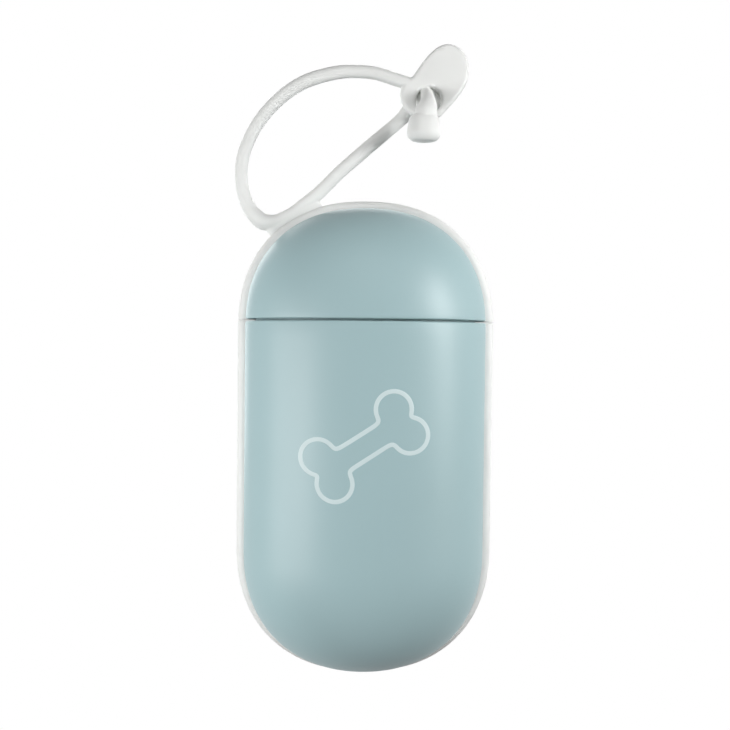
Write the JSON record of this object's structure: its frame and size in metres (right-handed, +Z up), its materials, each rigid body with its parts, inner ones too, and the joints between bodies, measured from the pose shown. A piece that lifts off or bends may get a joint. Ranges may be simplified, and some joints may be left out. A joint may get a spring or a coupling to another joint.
{
  "type": "dog poop bag dispenser",
  "caption": "Upright capsule case with a flip-top lid for a roll of pet waste bags, a soft rim between its front and back shells, a rear bag outlet and a leash strap.",
  "frame": {"origin": "middle of the leash loop, in the middle plane of the strap and the rim", "axes": "+Z up along the capsule as it hangs, -Y out of the printed front, +Y out of the flat back with the hinge, +X to the right seen from the front"},
  "size_m": [0.055, 0.0386, 0.1332],
  "materials": {
    "shell_plastic": "soft-touch satin moulded ABS, dusty blue",
    "rim_silicone": "matte moulded silicone, white",
    "strap_silicone": "matte moulded silicone, white",
    "hub_plastic": "slightly glossy moulded acetal, off-white",
    "steel": "plain zinc-plated steel",
    "magnet_nickel": "nickel-plated",
    "card": "plain wound card",
    "bag_film": "thin wound film with a dull sheen"
  },
  "bodies": {
    "case": {"case_front": "shell_plastic", "case_back": "shell_plastic", "case_rim": "rim_silicone", "outlet_grommet": "rim_silicone", "hinge_pin": "steel", "case_screws": "steel", "roll_hub": "hub_plastic", "hub_screw": "steel", "case_magnets": "magnet_nickel"},
    "lid": {"lid_front": "shell_plastic", "lid_back": "shell_plastic", "lid_rim": "rim_silicone", "strap": "strap_silicone", "lid_screws": "steel", "lid_magnets": "magnet_nickel"},
    "roll": {"roll_core": "card", "bag_roll": "bag_film"}
  },
  "joints": [
    {"name": "lid_hinge", "type": "hinge", "parent": "case", "child": "lid", "pos_m": [0.0115, 0.0147, -0.0393], "axis": [-1, 0, 0], "range_deg": [0, 95]},
    {"name": "roll_spin", "type": "hinge", "parent": "case", "child": "roll", "pos_m": [0.0115, -0.0035, -0.068], "axis": [0, 0, 1], "continuous": true}
  ]
}
